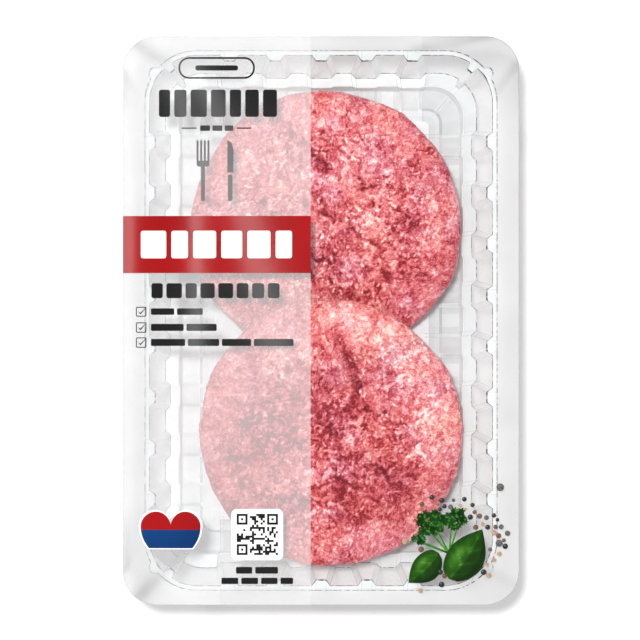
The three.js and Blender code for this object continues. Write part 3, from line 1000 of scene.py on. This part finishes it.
def panel_outline():
    half_width, half_length = PACK_WIDTH / 2 - INK_MARGIN, PACK_LENGTH / 2 - INK_MARGIN
    whole = rounded_outline(half_width, half_length, FLANGE_RADIUS)
    left_side = [(x, y) for x, y in whole if x < 0]
    return [(PANEL_RIGHT, half_length), *left_side, (PANEL_RIGHT, -half_length)]


for white_pass in (1, 2, 3):
    panel = lay_ink(f"print_milky_pass_{white_pass}", [panel_outline()], 0.4 * white_pass, milky_ink)
    panel.visible_shadow = False
band_outline = box_outline(INK_MARGIN - PACK_WIDTH / 2, PANEL_RIGHT, BAND_LOW, BAND_HIGH)
lay_ink("print_red_band", [band_outline], 2, red_ink)

# %% [markdown]
# ## Plain marks in the places of words
# A pack like this is recognised by its blocks of print, not by what they say. Rows of plain blocks stand
# where words would be, in the same weights and sizes.

# %% Rows of blocks
# Each row has a left and right end, a low and high edge, the number of blocks and a seed for their widths.
def block_row(left, right, low, high, count, seed, gap=0.9):
    rng = np.random.default_rng(seed)
    widths = rng.uniform(0.75, 1.25, count)
    widths *= (right - left - gap * (count - 1)) / widths.sum()
    starts = left + np.concatenate([[0], np.cumsum(widths[:-1] + gap)])
    round_off = min(0.18 * (high - low), 0.9)
    return [box_outline(a, a + w, low, high, round_off) for a, w in zip(starts, widths)]


def ring_outline(left, right, low, high, radius, stroke):
    outer = box_outline(left, right, low, high, radius)
    inner = box_outline(left + stroke, right - stroke, low + stroke, high - stroke, radius - stroke)
    count = len(outer)
    return [[outer[i], outer[(i + 1) % count], inner[(i + 1) % count], inner[i]] for i in range(count)]


dark_marks = [
    *block_row(-62.5, -17.0, 78.5, 89.0, 7, 3, 1.6),
    *ring_outline(-55.0, -25.5, 93.2, 101.6, 4.0, 0.7),
    box_outline(-48.5, -32.0, 96.4, 98.4, 0.9),
    box_outline(-53.7, -48.0, 73.9, 74.4), box_outline(-32.4, -27.0, 73.9, 74.4),
    *block_row(-46.6, -33.8, 73.1, 75.2, 3, 5),
    *block_row(-65.4, -16.0, 8.6, 14.4, 8, 8, 1.4),
    *block_row(-32.8, -16.6, -97.6, -95.0, 2, 12, 1.2),
    *block_row(-38.4, -10.8, -101.6, -99.2, 4, 13, 1.2),
]
TICK_ROWS = ((1.5, 5.3, -45.6, 2), (-4.7, -0.7, -40.2, 2), (-10.5, -6.5, -10.6, 4))
TICK = ((-70.6, 0.2), (-69.7, -1.1), (-66.9, 2.3), (-69.7, -0.4))
for row, (low, high, right, blocks) in enumerate(TICK_ROWS):
    dark_marks += ring_outline(-71.4, -67.4, low, high, 0.6, 0.35)
    dark_marks += block_row(-65.6, right, low + 0.7, high - 0.6, blocks, 20 + row, 1.1)
    dark_marks.append([(x, (low + high) / 2 + y) for x, y in TICK])
lay_ink("print_dark_marks", dark_marks, 3, black_ink)
lay_ink("print_band_blocks", block_row(-69.5, -11.2, 24.0, 34.6, 6, 31, 2.0), 3, white_ink)

# %% [markdown]
# ## Fork and knife
# A small picture in grey stands above the band, as it does on many packs of food. Traced art would look
# richer, but a few rounded boxes and one blade are enough to be read as cutlery from a step away.

# %% Fork and knife
PRONGS = (-2.1, -0.7, 0.7, 2.1)
PRONG_HALF = 0.38


def fork_outline(x, low, high):
    prongs = []
    for side in PRONGS:
        middle = x + side
        prongs.append(box_outline(middle - PRONG_HALF, middle + PRONG_HALF, high - 8.5, high, 0.36))
    bridge = box_outline(x - 2.48, x + 2.48, high - 10.2, high - 7.9, 0.9)
    handle = box_outline(x - 0.75, x + 0.75, low, high - 9.6, 0.7)
    return [*prongs, bridge, handle]


def knife_outline(x, low, high):
    edge = ((-1.1, 12.5), (1.2, 12.5), (1.3, 4), (0.6, 1), (-1.1, 0))
    blade = [(x + across, high - down) for across, down in edge]
    return [blade, box_outline(x - 0.9, x + 0.9, low, high - 13.2, 0.8)]


cutlery = fork_outline(-45.5, 46.0, 69.5) + knife_outline(-35.0, 46.0, 69.5)
lay_ink("print_fork_and_knife", cutlery, 3, grey_ink)

# %% [markdown]
# ## Heart and square
# A heart in three bands and a square of small blocks stand low on the panel. Both are drawn by rule. The
# heart is one known curve, cut along level lines, and its milky tip lies in two thin coats. The square has
# three framed corners and a seeded draw between them, so it spells nothing.

# %% Heart in three bands
HEART_X, HEART_Y = -58.0, -84.1
HEART_WIDTH = 23.2
HEART_RIM = 0.7
HEART_TOP, RED_LOW, BLUE_LOW, WHITE_LOW, HEART_END = -60, -80.7, -87.8, -88.2, -99


def heart_outline(grow=0.0):
    points = []
    for angle in np.linspace(0, 2 * math.pi, 60, endpoint=False):
        plump = 3 if math.cos(angle) > 0 else 1.4
        x = 16 * math.copysign(abs(math.sin(angle)) ** plump, math.sin(angle))
        y = 13 * math.cos(angle) - 5 * math.cos(2 * angle) - 2 * math.cos(3 * angle) - math.cos(4 * angle)
        size = (HEART_WIDTH / 2 + grow) / 16
        points.append((HEART_X - x * size, HEART_Y + (y + 2.5) * size))
    return points


def cut_band(outline, low, high):
    kept = outline
    for limit, keep_above in ((low, True), (high, False)):
        result = []
        for (ax, ay), (bx, by) in zip(kept, kept[1:] + kept[:1]):
            a_in, b_in = (ay >= limit) == keep_above, (by >= limit) == keep_above
            if a_in:
                result.append((ax, ay))
            if a_in != b_in:
                share = (limit - ay) / (by - ay)
                result.append((ax + (bx - ax) * share, limit))
        kept = result
    return kept


lay_ink("print_heart_white", [cut_band(heart_outline(HEART_RIM), WHITE_LOW, HEART_TOP)], 3, white_ink)
lay_ink("print_heart_tip", [cut_band(heart_outline(HEART_RIM), HEART_END, WHITE_LOW)], 3, milky_ink)
lay_ink("print_heart_tip_again", [cut_band(heart_outline(0.5), HEART_END, WHITE_LOW)], 3.4, milky_ink)
lay_ink("print_heart_red", [cut_band(heart_outline(), RED_LOW, HEART_TOP)], 4, red_ink)
lay_ink("print_heart_blue", [cut_band(heart_outline(), BLUE_LOW, RED_LOW)], 4, blue_ink)

# %% Square of made-up blocks
CODE_LEFT, CODE_LOW, CODE_SIZE, CODE_CELLS = -32.5, -90.4, 15.9, 19
EYE_CELLS = 6
DARK_SHARE = 0.47
CELL_OVERLAP = 1.01
lay_ink("print_code_field", [box_outline(-34.6, -14.6, -92.4, -72.6, 2.2)], 3, white_ink)
code_rng = np.random.default_rng(77)
cell = CODE_SIZE / CODE_CELLS
code_blocks = []
for row in range(CODE_CELLS):
    for column in range(CODE_CELLS):
        near = [min(v, CODE_CELLS - 1 - v) for v in (row, column)]
        bare_corner = row < EYE_CELLS and column >= CODE_CELLS - EYE_CELLS
        if max(near) < EYE_CELLS and not bare_corner:
            dark = max(abs(v - 2) for v in near) in (0, 2)
        else:
            dark = code_rng.random() < DARK_SHARE
        if dark:
            left, low = CODE_LEFT + column * cell, CODE_LOW + row * cell
            code_blocks.append(box_outline(left, left + cell * CELL_OVERLAP, low, low + cell * CELL_OVERLAP))
lay_ink("print_code_blocks", code_blocks, 4, black_ink)

# %% [markdown]
# ## Herbs on the film
# Two smooth leaves, a curly sprig and scattered peppercorns are printed in the lower right corner, straight
# on the clear film. The leaves are drawn over a grid so that the ink can go lighter along their veins.

# %% Leaves
# Leaf green is a satin dark ink that goes to a pale green where the leaf takes the light.
leaf_ink = new_material("Leaf_green_ink", {"Roughness": 0.3, "IOR": 1.5, "Specular IOR Level": 0.3})
vein = add_node(leaf_ink, "ShaderNodeAttribute", attribute_name="vein")
leaf_place = add_node(leaf_ink, "ShaderNodeTexCoord")
leaf_cloud = add_node(leaf_ink, "ShaderNodeTexNoise", {
    "Vector": leaf_place.outputs["Object"], "Scale": 1 / (3 * MM), "Detail": 2.0,
})
leaf_tone = add_node(leaf_ink, "ShaderNodeMath", {
    0: leaf_cloud.outputs["Fac"], 1: 0.42, 2: vein.outputs["Fac"],
}, operation="MULTIPLY_ADD")
leaf_colour = add_node(leaf_ink, "ShaderNodeValToRGB", {"Fac": leaf_tone.outputs[0]}, [
    (0.05, "#0A2602"), (0.35, "#143A04"), (0.55, "#215308"), (0.78, "#41761E"), (1.0, "#7CA268"),
])
set_sockets(leaf_ink, surface(leaf_ink), {"Base Color": leaf_colour.outputs["Color"]})
LEAF_STEPS, LEAF_SIDES = 26, 14


def leaf_mark(along, aside, light_side):
    rib = 0.22 * math.exp(-(aside / 0.07) ** 2)
    slant = math.sin(2 * math.pi * (along * 4 - abs(aside) * 1.1))
    side_vein = max(0, slant) ** 5 * (1 - abs(aside)) * 0.24
    glow = 0.42 * math.exp(-((aside - 0.45 * light_side) / 0.3) ** 2 - ((along - 0.42) / 0.24) ** 2)
    fold_shade = 0.3 * math.exp(-((aside + 0.78 * light_side) / 0.1) ** 2)
    lit_half = 0.12 * (aside * light_side > 0)
    return 0.1 + rib + side_vein + glow - fold_shade - 0.1 * abs(aside) + lit_half


def leaf(name, foot, tip, width, bow, light_side):
    foot, tip = np.array(foot), np.array(tip)
    run = tip - foot
    across = np.array([-run[1], run[0]]) / np.hypot(*run)
    points, marks = [], []
    for i in range(LEAF_STEPS + 1):
        along = i / LEAF_STEPS
        half = 0.02
        if 0 < i < LEAF_STEPS:
            half = width / 2 * math.sin(math.pi * along ** 0.82) ** (0.55 + 0.4 * along)
        for j in range(LEAF_SIDES + 1):
            aside = 2 * j / LEAF_SIDES - 1
            x, y = foot + run * along + across * (aside * half + bow * math.sin(math.pi * along))
            points.append((x, y, float(film_height(x, y)) + 6 * LAYER))
            marks.append(leaf_mark(along, aside, light_side))
    row = LEAF_SIDES + 1
    faces = [(i * row + j, i * row + j + 1, (i + 1) * row + j + 1, (i + 1) * row + j)
             for i in range(LEAF_STEPS) for j in range(LEAF_SIDES)]
    if signed_area([points[k] for k in faces[len(faces) // 2]]) < 0:
        faces = [face[::-1] for face in faces]
    piece = make_piece(name, points, faces, leaf_ink)
    write_values(piece, "vein", marks)


LARGE_LEAF = ((49.4, -99.7), (62.2, -80.5))
leaf("print_large_leaf", *LARGE_LEAF, 14.5, -0.8, 1)
leaf("print_small_leaf", (45.3, -89.5), (33.7, -101.1), 10.9, 0.8, -1)

# %% [markdown]
# ## Curly sprig
# Curly herbs are printed as a crowd of tiny frills on branching stems. Drawing each frill would take long and
# show little, so a seeded draw strews small wavy patches over the heads in two greens, dark below light.

# %% Curly sprig
# Heads of curly leaf, each with its middle, half width and half height, on stems that meet at one foot.
sprig_rng = np.random.default_rng(5)
sprig_light = new_ink("Sprig_light_ink", "#468A2C", "#266A18", drift_mm=1.5)
sprig_dark = new_ink("Sprig_dark_ink", "#174E10", "#0C3607", drift_mm=1.5)
SPRIG_FOOT = (49.4, -89.8)
SPRIG_HEADS = ((42.3, -78.1, 6.2, 5.3), (51.8, -76.6, 4.6, 4.4), (37.6, -84.3, 2.5, 2.3))


def curl(x, y, size):
    start = sprig_rng.uniform(0, 2 * math.pi)
    teeth = sprig_rng.integers(5, 8)
    turns = np.linspace(0, 2 * math.pi, 4 * teeth, endpoint=False)
    reach = size * (1 + 0.34 * np.cos(teeth * turns + start))
    return [(x + r * math.cos(a), y + r * math.sin(a)) for r, a in zip(reach, turns)]


def strip(start, end, width):
    start, end = np.array(start), np.array(end)
    aside = np.array([start[1] - end[1], end[0] - start[0]]) / np.hypot(*(end - start)) * width / 2
    return [tuple(p) for p in (start + aside, start - aside, end - aside * 0.6, end + aside * 0.6)]


stems = []
for x, y, half_wide, half_high in SPRIG_HEADS:
    for side in (-0.3, 0.3):
        stems.append(strip(SPRIG_FOOT, (x + side * half_wide, y - 0.3 * half_high), 0.8))
lay_ink("print_sprig_stems", stems, 5, sprig_light)
# Dark curls lie below and small light ones on top: how many to the head's area, their size and their layer.
CURLS = (("dark", sprig_dark, 1.1, (0.75, 1.35), 7), ("light", sprig_light, 0.6, (0.2, 0.45), 8))
for tone, ink, share, size, layer in CURLS:
    curls = []
    for x, y, half_wide, half_high in SPRIG_HEADS:
        for _ in range(int(share * 2.2 * half_wide * half_high)):
            turned = sprig_rng.uniform(0, 2 * math.pi)
            reach = 0.88 * math.sqrt(sprig_rng.uniform(0, 1))
            place = (x + reach * half_wide * math.cos(turned), y + reach * half_high * math.sin(turned))
            curls.append(curl(*place, sprig_rng.uniform(*size)))
    lay_ink(f"print_sprig_{tone}", curls, layer, ink)

# %% [markdown]
# ## Peppercorns
# Whole peppercorns in four colours lie round the herbs, each with a small spot of shine. The ones that the
# eye would miss are listed one by one, and the rest are drawn at random along a bent line.

# %% Peppercorns
# Most of them lie in a loose row round the far side of the herbs, and a few are strewn about. Dried pepper is
# matt and wrinkled, so each ink drifts over less than a millimetre.
PEPPER_COUNT, MOST_TRIES = 42, 400
PEPPER_GAP = 2.1
PEPPER_SHARES = [0.28, 0.2, 0.28, 0.24]
pepper_rng = np.random.default_rng(9)
pepper_inks = {
    "black": new_ink("Black_pepper_ink", "#3A3633", "#211E1C", drift_mm=0.8),
    "grey": new_ink("Grey_pepper_ink", "#6E6A68", "#4A4644", drift_mm=0.8),
    "brown": new_ink("Brown_pepper_ink", "#7E5A42", "#553C2C", drift_mm=0.8),
    "tan": new_ink("White_pepper_ink", "#BFA588", "#9C8064", drift_mm=0.8),
}
PEPPER_ROW = ((46, -70), (52, -71), (58, -73.5), (62.5, -77), (68, -81), (69, -86.5), (66.5, -92.5))
STREWN = (
    ("grey", 69.1, -64.3, 1.5), ("black", 42.8, -68.1, 1.0), ("brown", 38.9, -70.8, 1.0),
    ("tan", 32.2, -85.1, 1.0), ("brown", 38.6, -88.2, 1.15), ("black", 46, -97, 1.1),
    ("brown", 47.7, -98.5, 1.0), ("black", 46.5, -101.8, 1.1), ("tan", 38.4, -104.2, 1.0),
    ("black", 62.7, -97, 1.1), ("tan", 64.7, -98.3, 1.0), ("grey", 68.7, -85.9, 1.4),
)


def dot(x, y, size, steps=18):
    turns = np.linspace(0, 2 * math.pi, steps, False)
    return [(x + size * math.cos(a), y + size * math.sin(a)) for a in turns]


peppercorns = list(STREWN)
tries = 0
while len(peppercorns) < PEPPER_COUNT and tries < MOST_TRIES:
    tries += 1
    place = pepper_rng.uniform(0, len(PEPPER_ROW) - 1)
    step = int(place)
    start, end = np.array(PEPPER_ROW[step]), np.array(PEPPER_ROW[step + 1])
    x, y = start + (end - start) * (place - step) + pepper_rng.normal(0, 1.3, 2)
    away, share = distance_to(np.array([[x, y]]), *LARGE_LEAF)
    off_leaf = away[0] > 1.6 + 7 * math.sin(math.pi * share[0])
    if off_leaf and all(math.hypot(x - a, y - b) > PEPPER_GAP for _, a, b, _ in peppercorns):
        kind = str(pepper_rng.choice(list(pepper_inks), p=PEPPER_SHARES))
        peppercorns.append((kind, x, y, pepper_rng.uniform(0.7, 1.1)))
for name, ink in pepper_inks.items():
    dots = [dot(x, y, size) for kind, x, y, size in peppercorns if kind == name]
    lay_ink(f"print_{name}_peppercorns", dots, 6, ink)
shines = [dot(x - 0.3 * r, y + 0.3 * r, 0.28 * r, 10) for kind, x, y, r in peppercorns if kind != "tan"]
lay_ink("print_pepper_shine", shines, 7, grey_ink)
print(f"{len(peppercorns)} peppercorns")

# %% [markdown]
# ## Floor, light and camera
# The pack lies on a pale floor under soft light from almost overhead, a little to the upper left, so the
# shadow keeps close to the right and bottom edges. A weak lamp low on the right lightens the shade inside the
# tray, and a small one at the upper left rakes over the mince. Two narrow strip lamps high above leave soft
# upright streaks of glare on the inks. The camera looks straight down from about a metre, as the photograph
# does. Colours are shown without a film curve, so that white stays white.

# %% Floor
# Matt painted board, with a faint drift that is too slow to notice. It lies a hair below the pack, so that
# the two never share a plane.
FLOOR_HALF, FLOOR_DROP = 12.0, 0.0002
bpy.context.scene.view_settings.view_transform = "Standard"
floor_paint = new_material("Pale_matt_floor", {"Roughness": 0.9})
floor_place = add_node(floor_paint, "ShaderNodeTexCoord")
floor_cloud = add_node(floor_paint, "ShaderNodeTexNoise", {
    "Vector": floor_place.outputs["Object"], "Scale": 6.0,
})
floor_colour = add_node(floor_paint, "ShaderNodeValToRGB", {"Fac": floor_cloud.outputs["Fac"]}, [
    (0.3, "#F4F4F4"), (0.7, "#F8F8F8"),
])
set_sockets(floor_paint, surface(floor_paint), {"Base Color": floor_colour.outputs["Color"]})
floor_mesh = bpy.data.meshes.new("floor")
corner_signs = ((-1, -1), (1, -1), (1, 1), (-1, 1))
floor_corners = [(x * FLOOR_HALF, y * FLOOR_HALF, -FLOOR_DROP) for x, y in corner_signs]
floor_mesh.from_pydata(floor_corners, [], [(0, 1, 2, 3)])
floor_mesh.materials.append(floor_paint)
floor = bpy.data.objects.new("floor", floor_mesh)
bpy.context.scene.collection.objects.link(floor)
print(f"floor {2 * FLOOR_HALF:.0f} m wide")

# %% Lights
# Places and sizes are in metres. A lamp that isn't mirrored lights the pack without a glare of its own.
ROOM_LIGHT = 0.34


def area_light(name, place, size, watts, aim=(0, 0, 0), mirrored=True):
    lamp = bpy.data.lights.new(name, "AREA")
    lamp.energy = watts
    lamp.shape = "DISK" if len(size) == 1 else "RECTANGLE"
    lamp.size = size[0]
    lamp.size_y = size[-1]
    light = bpy.data.objects.new(name, lamp)
    light.location = place
    towards = Vector(aim) - light.location
    light.rotation_euler = towards.to_track_quat("-Z", "Y").to_euler()
    light.visible_glossy = mirrored
    bpy.context.scene.collection.objects.link(light)
    return light


area_light("overhead_key", (-0.165, 0.215, 1.5), (0.21,), 20, mirrored=False)
area_light("low_fill", (0.85, -0.75, 0.45), (0.4,), 3, mirrored=False)
area_light("raking_key", (-0.5, 0.62, 0.5), (0.1,), 1.3)
STRIP_Y, STRIP_Z, STRIP_LENGTH, STRIP_WATTS = 0.22, 1.25, 0.74, 0.38
for name, across, width, slant in (("left_strip", -0.168, 0.028, 0), ("middle_strip", -0.112, 0.034, 16)):
    over = (across, STRIP_Y, STRIP_Z)
    strip_light = area_light(name, over, (width, STRIP_LENGTH), STRIP_WATTS, aim=(across, STRIP_Y, 0))
    strip_light.rotation_euler[2] += math.radians(slant)
room = bpy.data.worlds.new("pale_room")
room.use_nodes = True
room.node_tree.nodes["Background"].inputs["Color"].default_value = (1, 1, 1, 1)
room.node_tree.nodes["Background"].inputs["Strength"].default_value = ROOM_LIGHT
bpy.context.scene.world = room
print("five lamps and a pale room")

# %% Camera
# The frame spans 247 mm at the flange. A long lens from far off keeps the walls of the tray nearly upright.
FRAME_SPAN = 247.0
LENS = 150.0
SENSOR = 36.0
ASIDE, ALONG = -0.4, 0.2
camera_data = bpy.data.cameras.new("photo_camera")
camera_data.lens, camera_data.sensor_width = LENS, SENSOR
camera = bpy.data.objects.new("photo_camera", camera_data)
camera.location = (ASIDE * MM, ALONG * MM, (FLANGE_TOP + FRAME_SPAN * LENS / SENSOR) * MM)
bpy.context.scene.collection.objects.link(camera)
bpy.context.scene.camera = camera
print(f"camera {camera.location.z / MM:.0f} mm up")
